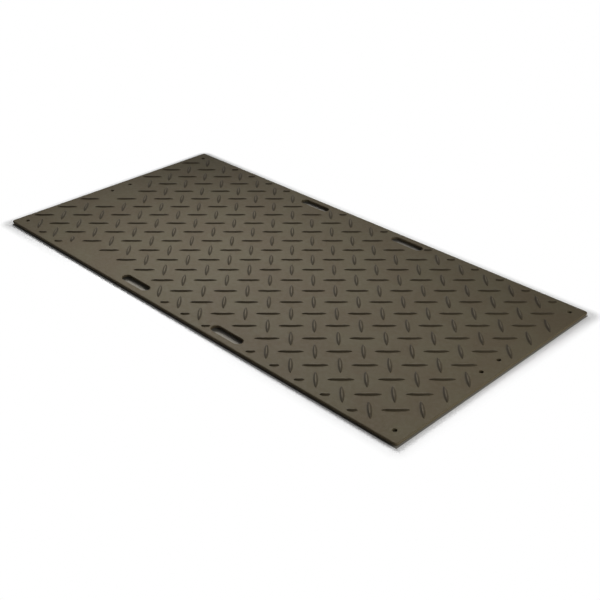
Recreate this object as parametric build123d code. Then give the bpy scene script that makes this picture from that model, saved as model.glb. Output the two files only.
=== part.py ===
from build123d import *
import math
import os

# Ground protection mat: one moulded sheet of dense polyethylene that vehicles drive over.
# Raised tread lugs stand on both faces, four hand slots lie along the long sides, and bolt
# holes for joining one mat to the next lie along the short sides.
# X runs along the sheet, Y across it and Z is up. The origin is under the middle of the mat,
# at the level of the lugs that it stands on. All sizes are in millimetres.

# Sheet
SHEET_LENGTH = 2440
SHEET_WIDTH = 1220
SHEET_THICKNESS = 12.7
CORNER_RADIUS = 12
EDGE_CHAMFER = 2.5

# One tread lug: a hipped bar that comes to a point at both ends. The upper lugs keep their
# full width between their shoulders, and the lower ones have a plain diamond outline.
LUG_LENGTH = 102
LUG_WIDTH = 16
LUG_HEIGHT = 6.35
LUG_CREST = 76
UPPER_SHOULDERS = 56
LOWER_SHOULDERS = 0

# Tread: two crossed families of lugs on one square lattice
LUG_PITCH = 132.6
LUG_TURN = 45
TREAD_BORDER = 19
SHORTEST_TIP = 30
CUT_SLOPE = 40

# Bolt holes, with the plain land that a connector plate needs around each
HOLE_DIAMETER = 19
HOLE_INSET = 55
HOLE_PAIR_SPACING = 112
HOLE_LAND = 25.5

# Hand slots
SLOT_LENGTH = 176
SLOT_WIDTH = 44
SLOT_INSET = 53
SLOT_SPACING = 595
SLOT_LAND = 7.5

# Plain panel in the tread of each face, beside one long edge
PANEL_LENGTH = 425
PANEL_DEPTH = 110
PANEL_INSET = 400

# Lattice sites that the mould leaves blank, as columns and rows counted from the middle
BLANK_RISING = {(-8, 4), (0, 4), (8, -5)}
BLANK_FALLING = {(-8, 0), (-8, -1), (9, 0)}


def hole_centres():
    """Centres of the four corner holes and of the pair at the middle of each short side."""
    x = SHEET_LENGTH / 2 - HOLE_INSET
    rows = (SHEET_WIDTH / 2 - HOLE_INSET, HOLE_PAIR_SPACING / 2)
    return [(side * x, end * y) for side in (-1, 1) for y in rows for end in (-1, 1)]


def slot_centres():
    """Centres of the hand slots, two on each long side."""
    x = SLOT_SPACING / 2
    y = SHEET_WIDTH / 2 - SLOT_INSET
    return [(side * x, end * y) for side in (-1, 1) for end in (-1, 1)]


def sheet():
    """The sheet between its two treads, centred on the origin, with its slots and holes."""
    plan = RectangleRounded(SHEET_LENGTH, SHEET_WIDTH, CORNER_RADIUS)
    plan -= [Pos(x, y) * SlotOverall(SLOT_LENGTH, SLOT_WIDTH) for x, y in slot_centres()]
    body = extrude(plan, SHEET_THICKNESS / 2, both=True)
    rims = body.faces().filter_by(Axis.Z).edges()
    body = chamfer(rims, EDGE_CHAMFER)
    return body - [Pos(x, y) * Cylinder(HOLE_DIAMETER / 2, SHEET_THICKNESS) for x, y in hole_centres()]


def lug(shoulders):
    """One whole lug along X, with its base on the XY plane."""
    tip, flank, crest = LUG_LENGTH / 2, LUG_WIDTH / 2, LUG_CREST / 2
    stations = sorted({-shoulders / 2, shoulders / 2})
    near_edge = [(x, -flank) for x in stations]
    far_edge = [(x, flank) for x in reversed(stations)]
    skins = [[(-tip, 0)] + near_edge + [(tip, 0)] + far_edge]
    for foot in (near_edge, far_edge[::-1]):
        skins.append(foot + [(crest, 0, LUG_HEIGHT), (-crest, 0, LUG_HEIGHT)])
        skins.append([(-tip, 0), foot[0], (-crest, 0, LUG_HEIGHT)])
        skins.append([(tip, 0), foot[-1], (crest, 0, LUG_HEIGHT)])
    return Solid(Shell([Face(Wire.make_polygon(skin, close=True)) for skin in skins]))


def lattice_sites():
    """The place of every lug over the sheet: rising lugs, and falling lugs half a pitch away."""
    columns = math.ceil(SHEET_LENGTH / 2 / LUG_PITCH) + 1
    rows = math.ceil(SHEET_WIDTH / 2 / LUG_PITCH) + 1
    quarter, half = LUG_PITCH / 4, LUG_PITCH / 2
    sites = []
    for column in range(-columns, columns + 1):
        for row in range(-rows, rows + 1):
            x, y = column * LUG_PITCH, row * LUG_PITCH
            if (column, row) not in BLANK_RISING:
                sites.append(Location((x + quarter, y + half, 0), (0, 0, LUG_TURN)))
            if (column, row) not in BLANK_FALLING:
                sites.append(Location((x - quarter, y, 0), (0, 0, -LUG_TURN)))
    return sites


def lands():
    """The core of each hole and slot, with the distance that a lug's axis keeps from it."""
    reach = (SLOT_LENGTH - SLOT_WIDTH) / 2
    holes = [(Vertex(x, y, 0), HOLE_DIAMETER / 2 + HOLE_LAND) for x, y in hole_centres()]
    slots = [(Line((x - reach, y), (x + reach, y)), SLOT_WIDTH / 2 + SLOT_LAND) for x, y in slot_centres()]
    return holes + slots


def tread_field():
    """The area of a face that carries tread: inside its plain border and outside its plain panel."""
    field = Rectangle(SHEET_LENGTH - 2 * TREAD_BORDER, SHEET_WIDTH - 2 * TREAD_BORDER)
    corner = Pos(PANEL_INSET - SHEET_LENGTH / 2, -SHEET_WIDTH / 2)
    return field - corner * Rectangle(PANEL_LENGTH, PANEL_DEPTH, align=(Align.MIN, Align.MIN))


def tread(shoulders):
    """The lugs of one face, standing on the XY plane and sloped off where the plain areas begin."""
    field = tread_field()
    mould = extrude(field, LUG_HEIGHT, taper=CUT_SLOPE)
    whole, keep_outs = lug(shoulders), lands()
    axis = Line((-LUG_LENGTH / 2, 0), (LUG_LENGTH / 2, 0))
    lugs = []
    for site in lattice_sites():
        inside = (site * axis).intersect(field)
        length = sum(edge.length for edge in inside.edges()) if inside else 0
        if length < SHORTEST_TIP:
            continue
        if any(edge.distance_to(core) < gap for edge in inside.edges() for core, gap in keep_outs):
            continue
        placed = site * whole
        lugs += [placed] if math.isclose(length, LUG_LENGTH) else (placed & mould).solids()
    return lugs


def ground_mat():
    """The whole moulding: the sheet with its upper tread, and the same tread turned over below."""
    face = SHEET_THICKNESS / 2
    upper = [Pos(0, 0, face) * part for part in tread(UPPER_SHOULDERS)]
    lower = [Rot(180, 0, 0) * Pos(0, 0, face) * part for part in tread(LOWER_SHOULDERS)]
    body = sheet().solid().fuse(*upper, *lower, glue=True)
    return Pos(0, 0, face + LUG_HEIGHT) * body


os.makedirs("parts", exist_ok=True)
export_step(ground_mat(), "parts/ground_mat.step")
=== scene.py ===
import bmesh
import bpy
import math
import numpy as np
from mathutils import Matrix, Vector
from mathutils.geometry import delaunay_2d_cdt


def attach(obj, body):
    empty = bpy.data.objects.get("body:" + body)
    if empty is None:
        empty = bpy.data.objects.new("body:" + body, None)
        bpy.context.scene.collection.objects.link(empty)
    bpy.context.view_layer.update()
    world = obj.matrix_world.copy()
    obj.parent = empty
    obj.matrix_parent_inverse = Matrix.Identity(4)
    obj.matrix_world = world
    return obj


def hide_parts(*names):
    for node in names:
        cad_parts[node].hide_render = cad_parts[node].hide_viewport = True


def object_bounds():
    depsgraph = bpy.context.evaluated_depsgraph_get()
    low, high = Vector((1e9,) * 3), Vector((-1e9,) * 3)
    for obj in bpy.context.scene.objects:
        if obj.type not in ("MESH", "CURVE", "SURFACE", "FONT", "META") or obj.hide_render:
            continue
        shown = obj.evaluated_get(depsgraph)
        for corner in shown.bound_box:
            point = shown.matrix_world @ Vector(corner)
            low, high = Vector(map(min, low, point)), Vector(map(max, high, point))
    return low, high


# Ground protection mat: one moulded sheet of dense polyethylene with tread lugs on both faces.
# All lengths are in metres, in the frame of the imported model: X along the sheet, Y across it,
# Z up, with the origin on the ground under the middle of the mat.

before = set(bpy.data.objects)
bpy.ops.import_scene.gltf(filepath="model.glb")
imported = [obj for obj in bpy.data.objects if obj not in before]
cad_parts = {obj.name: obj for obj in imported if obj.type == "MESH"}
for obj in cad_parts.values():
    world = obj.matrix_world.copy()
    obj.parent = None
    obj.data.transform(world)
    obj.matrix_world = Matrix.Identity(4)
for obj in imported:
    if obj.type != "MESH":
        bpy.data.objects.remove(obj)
cad_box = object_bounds()

# Tread lattice and lugs
LUG_LENGTH = 0.102
LUG_WIDTH = 0.0175
LUG_PITCH = 0.1326
LUG_TURN = math.radians(45)
TREAD_BORDER = 0.019
SHORTEST_TIP = 0.030
BLANK_RISING = {(-8, 4), (0, 4), (8, -5)}
BLANK_FALLING = {(-8, 0), (-8, -1), (9, 0)}

# Section through a lug, one ring after another from its footing to its crest: the share of the
# half width, the share of the fillet at its foot, and the share of the crest's height
UPPER_SECTION = (
    (1.0, 1.2, 0.0), (1.0, 1.0, 0.0), (1.0, 0.38, 0.04), (0.86, 0.0, 0.14),
    (0.67, 0.0, 0.40), (0.44, 0.0, 0.78), (0.24, 0.0, 0.95), (0.08, 0.0, 1.0),
)
LOWER_SECTION = (
    (1.0, 1.2, 0.0), (1.0, 1.0, 0.0), (0.95, 0.0, 0.20), (0.55, 0.0, 0.60), (0.15, 0.0, 1.0),
)
# Points along each side of a ring
UPPER_STATIONS = 10
LOWER_STATIONS = 7

# Curves of the lens: its outline, the fall of its crest, the fillet at its foot and its ends
TAPER_POWER = 2.1
TAPER_ROUNDING = 0.72
CREST_POWER = 4.0
CREST_SHORTER = 0.07
FOOT_FILLET = 0.0050
TIP_FILLET = 0.0008
TIP_STEP = 0.0015
LENS_REACH = 0.002

# How far a lug that is cut short ends before the plain area
CUT_SETBACK = 0.004

# Holes and hand slots
HOLE_RADIUS = 0.0095
HOLE_INSET = 0.055
HOLE_PAIR_SPACING = 0.112
HOLE_LAND = 0.0255
SLOT_LENGTH = 0.176
SLOT_WIDTH = 0.044
SLOT_INSET = 0.053
SLOT_SPACING = 0.595
SLOT_LAND = 0.0075

# Plain panel in the tread
PANEL_LENGTH = 0.425
PANEL_DEPTH = 0.110
PANEL_INSET = 0.400

# Sheet and its edges
SHEET_THICKNESS = 0.0127
CORNER_RADIUS = 0.012
SHEET_EDGE = 0.004
SLOT_EDGE = 0.0025
HOLE_EDGE = 0.001

# Steps round a rim's section, a corner of the sheet and a whole hole, and the flat band that
# keeps the shading of each rim off the face
EDGE_STEPS = 5
CORNER_STEPS = 8
ARC_STEPS = 32
FLAT_BAND = 0.0006

# Points tried along a lug's axis, and the distances that count as none
AXIS_SAMPLES = 97
NO_SQUARE = 1e-12
NO_GAP_IN_FACE = 1e-7
NO_GAP_IN_MESH = 1e-6

# The mode of the flat fill that keeps only what lies inside an outline
INSIDE_OUTLINES = 1

half_length, half_width = cad_box[1].x, cad_box[1].y
half_sheet = SHEET_THICKNESS / 2
lug_height = (cad_box[1].z - cad_box[0].z - SHEET_THICKNESS) / 2
mid_height = (cad_box[1].z + cad_box[0].z) / 2


def hole_centres():
    """Centres of the bolt holes along the two short sides."""
    x = half_length - HOLE_INSET
    rows = (half_width - HOLE_INSET, HOLE_PAIR_SPACING / 2)
    return [(side * x, end * y) for side in (-1, 1) for y in rows for end in (-1, 1)]


def slot_centres():
    """Centres of the hand slots, two on each long side."""
    x = SLOT_SPACING / 2
    y = half_width - SLOT_INSET
    return [(side * x, end * y) for side in (-1, 1) for end in (-1, 1)]


def stretch_inside(centre, way, low, high):
    """The stretch of a line inside a box, as two ends: how far along, and which wall is there."""
    start, stop = (-math.inf, None), (math.inf, None)
    for axis in (0, 1):
        wall_a = ((low[axis] - centre[axis]) / way[axis], axis)
        wall_b = ((high[axis] - centre[axis]) / way[axis], axis)
        first, last = sorted((wall_a, wall_b))
        start = max(start, first, key=lambda end: end[0])
        stop = min(stop, last, key=lambda end: end[0])
    return start, stop


def axis_stretches(centre, way):
    """The parts of a lug's axis that lie in the tread field, outside the plain panel."""
    tip = LUG_LENGTH / 2
    reach = (half_length - TREAD_BORDER, half_width - TREAD_BORDER)
    start, stop = stretch_inside(centre, way, (-reach[0], -reach[1]), reach)
    start = max(start, (-tip, None), key=lambda end: end[0])
    stop = min(stop, (tip, None), key=lambda end: end[0])
    if start[0] >= stop[0]:
        return []
    corner = (PANEL_INSET - half_length, -half_width)
    far_corner = (corner[0] + PANEL_LENGTH, corner[1] + PANEL_DEPTH)
    enter, leave = stretch_inside(centre, way, corner, far_corner)
    if enter[0] >= leave[0] or leave[0] <= start[0] or enter[0] >= stop[0]:
        return [(start, stop)]
    pieces = []
    if enter[0] > start[0]:
        pieces.append((start, enter))
    if leave[0] < stop[0]:
        pieces.append((leave, stop))
    return pieces


def distance_to_core(point_a, point_b, core_a, core_b):
    """Smallest distance between two short straight lines in the plane."""
    along = np.linspace(0, 1, AXIS_SAMPLES)[:, None]
    line = np.array(point_a) * (1 - along) + np.array(point_b) * along
    span = np.array(core_b) - np.array(core_a)
    share = np.clip((line - core_a) @ span / max(span @ span, NO_SQUARE), 0, 1)[:, None]
    return np.linalg.norm(line - core_a - share * span, axis=1).min()


def lands():
    """The core line of each hole and slot, with the distance that a lug's axis keeps from it."""
    reach = (SLOT_LENGTH - SLOT_WIDTH) / 2
    holes = [((x, y), (x, y), HOLE_RADIUS + HOLE_LAND) for x, y in hole_centres()]
    slots = [((x - reach, y), (x + reach, y), SLOT_WIDTH / 2 + SLOT_LAND) for x, y in slot_centres()]
    return holes + slots


def lug_places():
    """Every lug of one face: its centre, the way it points, and the stretch of it that stands."""
    columns = math.ceil(half_length / LUG_PITCH) + 1
    rows = math.ceil(half_width / LUG_PITCH) + 1
    families = ((0.25, 0.5, LUG_TURN, BLANK_RISING), (-0.25, 0.0, -LUG_TURN, BLANK_FALLING))
    keep_outs = lands()
    places = []
    for column in range(-columns, columns + 1):
        for row in range(-rows, rows + 1):
            for shift_x, shift_y, turn, blank in families:
                if (column, row) in blank:
                    continue
                centre = np.array(((column + shift_x) * LUG_PITCH, (row + shift_y) * LUG_PITCH))
                way = np.array((math.cos(turn), math.sin(turn)))
                stretches = axis_stretches(centre, way)
                if sum(stop[0] - start[0] for start, stop in stretches) < SHORTEST_TIP:
                    continue
                ends = [(centre + way * start[0], centre + way * stop[0]) for start, stop in stretches]
                if any(distance_to_core(a, b, core_a, core_b) < gap
                       for a, b in ends for core_a, core_b, gap in keep_outs):
                    continue
                places += [(centre, way, start, stop) for start, stop in stretches]
    return places


def taper(share):
    """The width of a lug at a share of its half length, as a share of its full width."""
    return (1 - np.minimum(np.abs(share), 1) ** TAPER_POWER) ** TAPER_ROUNDING


def crest(share):
    """The height of a lug's crest at a share of its half length, as a share of its full height."""
    return 1 - np.minimum(np.abs(share), 1) ** CREST_POWER


def lug_ring(ring, half, stations):
    """One closed ring of a lug in its own frame, from its front tip round by its left side."""
    share, fillet, rise = ring
    reach = half * (1 - CREST_SHORTER * rise) + fillet * TIP_FILLET
    x = (reach - TIP_STEP) * np.cos(np.linspace(0, math.pi, stations))
    width = taper(x / half)
    y = share * LUG_WIDTH / 2 * width + fillet * (TIP_FILLET + (FOOT_FILLET - TIP_FILLET) * width)
    left, right = np.column_stack([x, y]), np.column_stack([x, -y])[::-1]
    plan = np.vstack([[(reach, 0.0)], left, [(-reach, 0.0)], right])
    return np.column_stack([plan, lug_height * rise * crest(plan[:, 0] / half)])


def lug_rings(place, section, stations):
    """All rings of one lug in the frame of the mat, from its footing to its crest."""
    centre, way, (start, first_wall), (stop, last_wall) = place
    start += -LENS_REACH if first_wall is None else CUT_SETBACK
    stop += LENS_REACH if last_wall is None else -CUT_SETBACK
    aside = np.array((-way[1], way[0]))
    middle = centre + way * (start + stop) / 2
    rings = []
    for ring in section:
        local = lug_ring(ring, (stop - start) / 2, stations)
        plan = middle + local[:, :1] * way + local[:, 1:2] * aside
        rings.append(np.column_stack([plan, half_sheet + local[:, 2]]))
    return rings


def rounded_outline(inset):
    """The outline of the sheet, moved inwards."""
    radius = CORNER_RADIUS - inset
    x, y = half_length - CORNER_RADIUS, half_width - CORNER_RADIUS
    points = []
    for quarter, (side, end) in enumerate(((1, 1), (-1, 1), (-1, -1), (1, -1))):
        for step in range(CORNER_STEPS + 1):
            turn = math.pi / 2 * (quarter + step / CORNER_STEPS)
            points.append((side * x + radius * math.cos(turn), end * y + radius * math.sin(turn)))
    return np.array(points)


def opening_outline(centre, reach, radius):
    """The outline of a hole, or of a slot whose ends lie this far from its centre, run clockwise."""
    half_turn = ARC_STEPS // 2
    count = half_turn + 1 if reach else half_turn
    points = []
    for end, first in ((1, 0), (-1, half_turn)):
        for step in range(first, first + count):
            turn = math.pi / 2 - 2 * math.pi * step / ARC_STEPS
            x = centre[0] + end * reach + radius * math.cos(turn)
            y = centre[1] + radius * math.sin(turn)
            points.append((x, y))
    return np.array(points)


def rim_levels(edge):
    """Section of a rounded rim, as insets from its wall and heights, down to mid sheet."""
    levels = [(edge + FLAT_BAND, half_sheet)]
    for step in range(EDGE_STEPS + 1):
        turn = math.pi / 2 * step / EDGE_STEPS
        levels.append((edge * (1 - math.sin(turn)), half_sheet - edge * (1 - math.cos(turn))))
    return levels + [(0.0, 0.0)]


def rim_rings(outline, edge):
    """Rings from the flat face over a rounded edge and down the wall to mid sheet."""
    rings = []
    for inset, height in rim_levels(edge):
        plan = outline(inset)
        rings.append(np.column_stack([plan, np.full(len(plan), height)]))
    return rings


def opening_rims():
    """The rings round each slot and each hole."""
    reach = (SLOT_LENGTH - SLOT_WIDTH) / 2
    openings = [(centre, reach, SLOT_WIDTH / 2, SLOT_EDGE) for centre in slot_centres()]
    openings += [(centre, 0, HOLE_RADIUS, HOLE_EDGE) for centre in hole_centres()]
    rims = []
    for centre, reach, radius, edge in openings:
        rims.append(rim_rings(lambda inset: opening_outline(centre, reach, radius + inset), edge))
    return rims


class Mesh:
    """Collects the vertices and faces of one half of the moulding."""

    def __init__(self):
        self.points = []
        self.faces = []
        self.smooth = []
        self.count = 0

    def add_ring(self, ring):
        """Keeps the points of one ring and gives back their numbers."""
        self.points.append(ring)
        self.count += len(ring)
        return np.arange(self.count - len(ring), self.count)

    def add_band(self, outer, inner):
        """Joins two rings that run anticlockwise round the rise, the outer one first."""
        for a, b, c, d in zip(outer, np.roll(outer, -1), np.roll(inner, -1), inner):
            self.faces.append((a, b, c, d))
            self.smooth.append(True)

    def add_crest(self, ring):
        """Closes a lug between its two long sides."""
        last = len(ring) // 2
        left, right = list(ring[1:last]), list(ring[:last:-1])
        self.faces.append((ring[0], left[0], right[0]))
        for k in range(len(left) - 1):
            self.faces.append((left[k], left[k + 1], right[k + 1], right[k]))
        self.faces.append((left[-1], ring[last], right[-1]))
        self.smooth += [True] * (len(left) + 1)


def face_of_sheet(places, section, stations):
    """The upper half of the moulding: flat face, lugs, rims and walls down to mid sheet."""
    mesh = Mesh()
    loops = []
    rims = [rim_rings(rounded_outline, SHEET_EDGE)] + opening_rims()
    for rings in rims:
        indices = [mesh.add_ring(ring) for ring in rings]
        for inner, outer in zip(indices, indices[1:]):
            mesh.add_band(outer, inner)
        loops.append(indices[0] if rings is rims[0] else indices[0][::-1])
    for place in places:
        indices = [mesh.add_ring(ring) for ring in lug_rings(place, section, stations)]
        for outer, inner in zip(indices, indices[1:]):
            mesh.add_band(outer, inner)
        mesh.add_crest(indices[-1])
        loops.append(indices[0])
    fill_flat(mesh, loops)
    return np.vstack(mesh.points), mesh.faces, mesh.smooth


def fill_flat(mesh, loops):
    """Fills the flat face between the outer loop and all the others."""
    points = np.vstack(mesh.points)
    order = np.concatenate(loops)
    where = {index: k for k, index in enumerate(order)}
    plan = [Vector(points[index][:2]) for index in order]
    closed = [[where[index] for index in loop] for loop in loops]
    outer_loop_only = [0]
    _, _, triangles, _, _, owners = delaunay_2d_cdt(plan, [], closed, INSIDE_OUTLINES, NO_GAP_IN_FACE)
    for triangle, owner in zip(triangles, owners):
        if owner == outer_loop_only and max(triangle) < len(order):
            mesh.faces.append(tuple(order[k] for k in triangle))
            mesh.smooth.append(False)


def make_mat():
    """The whole moulding as one closed mesh: an upper face and the same face turned over."""
    places = lug_places()
    upper, upper_faces, upper_smooth = face_of_sheet(places, UPPER_SECTION, UPPER_STATIONS)
    lower, lower_faces, lower_smooth = face_of_sheet(places, LOWER_SECTION, LOWER_STATIONS)
    lower = lower * (1, -1, -1)
    points = np.vstack([upper, lower]) + (0, 0, mid_height)
    faces = upper_faces + [tuple(k + len(upper) for k in face) for face in lower_faces]
    data = bpy.data.meshes.new("ground_mat_moulding")
    data.from_pydata(points.tolist(), [], [tuple(int(k) for k in face) for face in faces])
    data.polygons.foreach_set("use_smooth", upper_smooth + lower_smooth)
    mat = bpy.data.objects.new("ground_mat_moulding", data)
    bpy.context.scene.collection.objects.link(mat)
    weld(data)
    return mat


def weld(data):
    """Joins the two halves along mid sheet."""
    work = bmesh.new()
    work.from_mesh(data)
    bmesh.ops.remove_doubles(work, verts=work.verts, dist=NO_GAP_IN_MESH)
    work.to_mesh(data)
    work.free()


class Nodes:
    """Builds the node tree of one material or world."""

    def __init__(self, tree):
        self.tree = tree

    def add(self, kind, inputs=None, **settings):
        """Adds a node; an input is either a plain value or the output that feeds it."""
        node = self.tree.nodes.new(kind)
        for name, value in settings.items():
            setattr(node, name, value)
        for key, value in (inputs or {}).items():
            if isinstance(value, bpy.types.NodeSocket):
                self.tree.links.new(value, node.inputs[key])
            else:
                node.inputs[key].default_value = value
        return node

    def maths(self, operation, *values):
        """One sum of the Math node."""
        return self.add("ShaderNodeMath", dict(enumerate(values)), operation=operation).outputs[0]

    def times(self, value_a, value_b):
        """The product of two values."""
        return self.maths("MULTIPLY", value_a, value_b)

    def most(self, value_a, value_b):
        """The larger of two values."""
        return self.maths("MAXIMUM", value_a, value_b)

    def noise(self, place, scale, detail, roughness):
        """Noise of about this many bumps to the metre, from 0 to 1."""
        inputs = {"Vector": place, "Scale": scale, "Detail": detail, "Roughness": roughness}
        return self.add("ShaderNodeTexNoise", inputs).outputs["Fac"]

    def ramp(self, value, low, high, to_low=0.0, to_high=1.0):
        """Maps a range of values onto another one with soft ends."""
        inputs = {"Value": value, "From Min": low, "From Max": high, "To Min": to_low, "To Max": to_high}
        return self.add("ShaderNodeMapRange", inputs, interpolation_type="SMOOTHSTEP").outputs["Result"]

    def blend(self, share, tone_a, tone_b):
        """Mixes two colours."""
        node = self.add("ShaderNodeMix", {"Factor": share}, data_type="RGBA")
        for socket, tone in ((node.inputs[6], tone_a), (node.inputs[7], tone_b)):
            if isinstance(tone, bpy.types.NodeSocket):
                self.tree.links.new(tone, socket)
            else:
                socket.default_value = tone
        return node.outputs[2]

    def sight(self):
        """1 for rays from the camera, off a gloss or through glass, and 0 for all other light."""
        rays = self.add("ShaderNodeLightPath").outputs
        mirrored = self.most(rays["Is Glossy Ray"], rays["Is Transmission Ray"])
        return self.most(rays["Is Camera Ray"], mirrored)


def new_material(name):
    """An empty material, with its shader and its nodes."""
    material = bpy.data.materials.new(name)
    material.use_nodes = True
    return material, material.node_tree.nodes["Principled BSDF"], Nodes(material.node_tree)


# Tones of the moulding, as linear colour
PLAIN_TONE = (0.078, 0.065, 0.037, 1)
CLOUDED_TONE = (0.072, 0.055, 0.031, 1)
GRAIN_TONE = (0.088, 0.070, 0.042, 1)
# Painted shade: the sides of the lugs darkened to stand in for the shade on their steep flanks
FLANK_SHADE_TONE = (0.030, 0.023, 0.012, 1)
WORN_TONE = (0.115, 0.095, 0.064, 1)
DUST_TONE = (0.125, 0.106, 0.076, 1)

# How much of its own tone each effect shows at most
GRAIN_SHARE = 0.6
DUST_SHARE = 0.12
SCRATCH_SHARE = 0.22
# How much of the painted shade the lug flanks show
FLANK_SHADE_SHARE = 0.95
WORN_SHARE = 0.35

# Patterns of noise: bumps to the metre, detail and roughness
CLOUDS = (5.0, 4.0, 0.6)
DUST = (14.0, 5.0, 0.7)
SWELL = (14.0, 2.0, 0.5)
MOTTLE = (60.0, 4.0, 0.65)
GRAIN = (900.0, 3.0, 0.7)
SCRATCHES = (1.0, 3.0, 0.7)

# The part of each noise over which an effect sets in
CLOUD_RANGE = (0.35, 0.65)
DUST_RANGE = (0.5, 0.8)
DUST_GRAIN_RANGE = (0.4, 0.7)
GRAIN_RANGE = (0.45, 0.7)
CREST_RANGE = (0.35, 0.7)
RIM_RANGE = (0.4, 0.75)
GLOSS_RANGE = (0.3, 0.7)

# Two sets of scratches: stretch of the noise along each axis, turn, and range of the noise
SCRATCH_SETS = (
    ((9, 160, 60), 0.5, (0.66, 0.74)),
    ((140, 11, 60), 0.2, (0.68, 0.76)),
)

# Where the painted shade on the flanks and the wear lie: heights over the face, shares of a lug's
# height, and distances
FLANK_FOOT = (0.0001, 0.0008)
FLANK_TOP = (0.90, 0.99)
CREST_WORN_FROM = 0.75
RIM_SHARP = 0.001

# Roughness, gloss and relief
SMOOTH = 0.64
ROUGH = 0.76
SCRATCH_ROUGHER = 0.08
WORN_SMOOTHER = 0.10
GLOSS_LEVEL = 0.13
SWELL_DEPTH = 0.00060
GRAIN_DEPTH = 0.00012
SCRATCH_DEPTH = 0.00006


def scratches_on(nodes, place):
    """Fine scratches in two directions, from 0 to 1."""
    sets = []
    for scale, turn, where in SCRATCH_SETS:
        inputs = {"Vector": place, "Scale": scale, "Rotation": (0, 0, turn)}
        stretched = nodes.add("ShaderNodeMapping", inputs).outputs[0]
        sets.append(nodes.ramp(nodes.noise(stretched, *SCRATCHES), *where))
    return nodes.most(*sets)


def painted_flank_shade(nodes, proud):
    """Shade painted on the sides of the lugs, without their crests, from 0 to 1."""
    foot = nodes.ramp(proud, half_sheet + FLANK_FOOT[0], half_sheet + FLANK_FOOT[1])
    low, high = (half_sheet + share * lug_height for share in FLANK_TOP)
    return nodes.times(foot, nodes.ramp(proud, low, high, 1.0, 0.0))


def wear_on(nodes, axes, proud, mottle):
    """Wear on the crests of the lugs and round the rim of the sheet, from 0 to 1."""
    crests = nodes.ramp(proud, half_sheet + CREST_WORN_FROM * lug_height, half_sheet + lug_height)
    rims = []
    for axis, half in (("X", half_length), ("Y", half_width)):
        out = nodes.maths("ABSOLUTE", axes[axis])
        rims.append(nodes.ramp(out, half - SHEET_EDGE, half - RIM_SHARP))
    rim = nodes.times(nodes.most(*rims), nodes.ramp(proud, RIM_SHARP, half_sheet))
    worn_crests = nodes.times(crests, nodes.ramp(mottle, *CREST_RANGE))
    worn_rim = nodes.times(rim, nodes.ramp(mottle, *RIM_RANGE))
    return nodes.most(worn_crests, worn_rim)


def dust_on(nodes, place, grain):
    """Dust that lies in drifts and in the grain, from 0 to 1."""
    drifts = nodes.ramp(nodes.noise(place, *DUST), *DUST_RANGE)
    return nodes.times(drifts, nodes.ramp(grain, *DUST_GRAIN_RANGE))


def polyethylene():
    """Moulded polyethylene: dark brownish grey, finely grained, scuffed where it is walked on, with
    shade painted on the sides of the lugs.
    """
    material, shader, nodes = new_material("moulded_polyethylene")
    place = nodes.add("ShaderNodeTexCoord").outputs["Object"]
    axes = nodes.add("ShaderNodeSeparateXYZ", {"Vector": place}).outputs
    proud = nodes.maths("ABSOLUTE", nodes.maths("SUBTRACT", axes["Z"], mid_height))
    clouds = nodes.ramp(nodes.noise(place, *CLOUDS), *CLOUD_RANGE)
    grain = nodes.noise(place, *GRAIN)
    mottle = nodes.noise(place, *MOTTLE)
    scratches = scratches_on(nodes, place)
    wear = wear_on(nodes, axes, proud, mottle)

    tone = nodes.blend(clouds, PLAIN_TONE, CLOUDED_TONE)
    tone = nodes.blend(nodes.ramp(grain, *GRAIN_RANGE, 0.0, GRAIN_SHARE), tone, GRAIN_TONE)
    for effect, share, own_tone in (
        (dust_on(nodes, place, grain), DUST_SHARE, DUST_TONE),
        (scratches, SCRATCH_SHARE, WORN_TONE),
        # painted shade: the lug flanks darkened as if in shade
        (painted_flank_shade(nodes, proud), FLANK_SHADE_SHARE, FLANK_SHADE_TONE),
        (wear, WORN_SHARE, WORN_TONE),
    ):
        tone = nodes.blend(nodes.times(effect, share), tone, own_tone)

    roughness = nodes.ramp(mottle, *GLOSS_RANGE, SMOOTH, ROUGH)
    roughness = nodes.maths("ADD", roughness, nodes.times(scratches, SCRATCH_ROUGHER))
    roughness = nodes.maths("SUBTRACT", roughness, nodes.times(wear, WORN_SMOOTHER))

    relief = nodes.times(nodes.noise(place, *SWELL), SWELL_DEPTH)
    relief = nodes.maths("ADD", relief, nodes.times(grain, GRAIN_DEPTH))
    relief = nodes.maths("SUBTRACT", relief, nodes.times(scratches, SCRATCH_DEPTH))
    bump = nodes.add("ShaderNodeBump", {"Height": relief, "Strength": 1.0, "Distance": 1.0})

    links = material.node_tree.links
    links.new(tone, shader.inputs["Base Color"])
    links.new(roughness, shader.inputs["Roughness"])
    links.new(bump.outputs[0], shader.inputs["Normal"])
    shader.inputs["Specular IOR Level"].default_value = GLOSS_LEVEL
    return material


mat = make_mat()
mat.data.materials.append(polyethylene())
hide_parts("ground_mat")
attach(mat, "root")

# Floor: the distances over which its shadow gives way to white, and its tones, with shade painted on it
# under the mat
FLOOR_SIZE = 60
SHADOW_NEAR = 0.018
SHADOW_FAR = 0.065
OUTLINE_SOFT = 0.002
FLOOR_BOUNCE = (0.35, 0.35, 0.35, 1)
# Painted shade: the floor under the mat, seen through the slots and holes and under the sheet's edge,
# darkened as if in shade
UNDER_MAT_SHADE = (0.24, 0.225, 0.195, 1)
WHITE = (1, 1, 1, 1)


def past_outline(nodes):
    """How far a point of the floor lies outside the outline of the mat."""
    place = nodes.add("ShaderNodeNewGeometry").outputs["Position"]
    axes = nodes.add("ShaderNodeSeparateXYZ", {"Vector": place}).outputs
    squares = []
    for axis, half in (("X", half_length), ("Y", half_width)):
        beyond = nodes.maths("SUBTRACT", nodes.maths("ABSOLUTE", axes[axis]), half)
        squares.append(nodes.maths("POWER", nodes.most(beyond, 0.0), 2.0))
    return nodes.maths("SQRT", nodes.maths("ADD", *squares))


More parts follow.
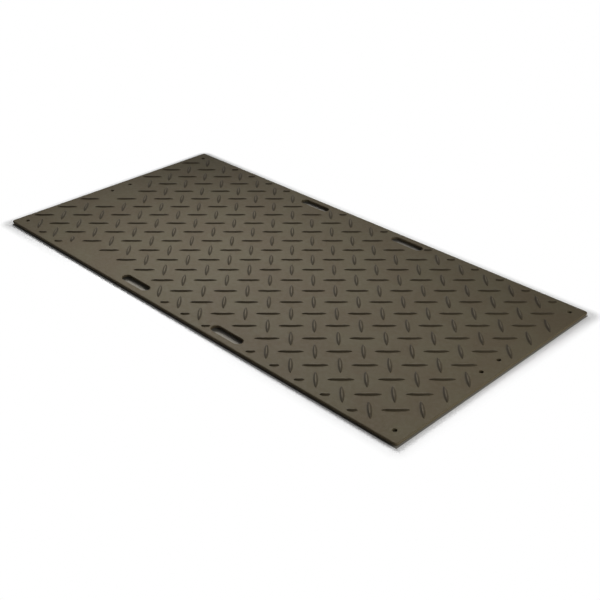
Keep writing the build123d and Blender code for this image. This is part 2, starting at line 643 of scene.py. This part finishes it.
def floor_white():
    """A white floor that keeps the shadow round the mat, is painted darker under the mat as shade, and
    meets the white background beyond it.
    """
    material, shader, nodes = new_material("floor_white")
    seen = nodes.sight()
    past = past_outline(nodes)
    clear = nodes.times(seen, nodes.ramp(past, SHADOW_NEAR, SHADOW_FAR))
    glow = nodes.add("ShaderNodeEmission", {"Color": WHITE, "Strength": 1.0})
    mixed = nodes.add("ShaderNodeMixShader", {0: clear, 1: shader.outputs[0], 2: glow.outputs[0]})
    # painted shade under the mat, softened over OUTLINE_SOFT at its outline
    floor_tone_with_under_shade = nodes.blend(nodes.ramp(past, 0.0, OUTLINE_SOFT), UNDER_MAT_SHADE, WHITE)
    links = material.node_tree.links
    links.new(nodes.blend(seen, FLOOR_BOUNCE, floor_tone_with_under_shade), shader.inputs["Base Color"])
    links.new(mixed.outputs[0], material.node_tree.nodes["Material Output"].inputs["Surface"])
    shader.inputs["Roughness"].default_value = 1
    shader.inputs["Specular IOR Level"].default_value = 0
    return material


floor_data = bpy.data.meshes.new("floor")
floor_corners = [
    (side * FLOOR_SIZE, end * FLOOR_SIZE, 0) for side, end in ((-1, -1), (1, -1), (1, 1), (-1, 1))
]
floor_data.from_pydata(floor_corners, [], [(0, 1, 2, 3)])
floor = bpy.data.objects.new("floor", floor_data)
bpy.context.scene.collection.objects.link(floor)
floor_data.materials.append(floor_white())

# Camera at the photograph's angle
CAMERA_AZIMUTH = math.radians(44.98)
CAMERA_ELEVATION = math.radians(30.43)
CAMERA_PLACE = (2.853, -2.704, 2.131)
CAMERA_LENS = 59.556
CAMERA_SENSOR = 36
camera_data = bpy.data.cameras.new("camera")
camera_data.lens = CAMERA_LENS
camera_data.sensor_width = CAMERA_SENSOR
camera = bpy.data.objects.new("camera", camera_data)
camera.location = CAMERA_PLACE
camera.rotation_euler = (math.pi / 2 - CAMERA_ELEVATION, 0, CAMERA_AZIMUTH)
bpy.context.scene.collection.objects.link(camera)
bpy.context.scene.camera = camera

# World: white to the eye, and a low even light on the mat
WORLD_LIGHT = 0.06
world = bpy.data.worlds.new("world")
bpy.context.scene.world = world
world.use_nodes = True
world_nodes = Nodes(world.node_tree)
background = world.node_tree.nodes["Background"]
background.inputs["Color"].default_value = WHITE
seen_white = world_nodes.ramp(world_nodes.sight(), 0.0, 1.0, WORLD_LIGHT, 1.0)
world.node_tree.links.new(seen_white, background.inputs["Strength"])

# Lamps: name, degrees from the mat's length, degrees up from the ground, and power
SPOTS = (
    ("key_behind", 136, 36, 500),
    ("key_left", 168, 22, 24),
    ("key_right", 104, 38, 170),
)
SPOT_AIM = Vector((0.42, -1.10, 0.0))
SPOT_DISTANCE = 4.0
SPOT_CONE = math.radians(66)
SPOT_BLEND = 1.0
SPOT_SIZE = 0.7
FILL = ("fill_right", 0, 15, 50)
FILL_AIM = Vector((0, 0, 0))
FILL_DISTANCE = 3.0
FILL_SIZE = 2.0


def lamp_data(row, kind, aim, distance):
    """Adds one lamp that looks at a point, and gives back its settings."""
    name, azimuth, elevation, power = row
    turn, rise = math.radians(azimuth), math.radians(elevation)
    way = Vector((math.cos(turn) * math.cos(rise), math.sin(turn) * math.cos(rise), math.sin(rise)))
    data = bpy.data.lights.new(name, kind)
    data.energy = power
    lamp = bpy.data.objects.new(name, data)
    lamp.location = aim + way * distance
    lamp.rotation_euler = way.to_track_quat("Z", "Y").to_euler()
    bpy.context.scene.collection.objects.link(lamp)
    return data


for row in SPOTS:
    spot = lamp_data(row, "SPOT", SPOT_AIM, SPOT_DISTANCE)
    spot.spot_size = SPOT_CONE
    spot.spot_blend = SPOT_BLEND
    spot.shadow_soft_size = SPOT_SIZE
fill = lamp_data(FILL, "AREA", FILL_AIM, FILL_DISTANCE)
fill.size = FILL_SIZE

bpy.context.scene.view_settings.view_transform = "Standard"
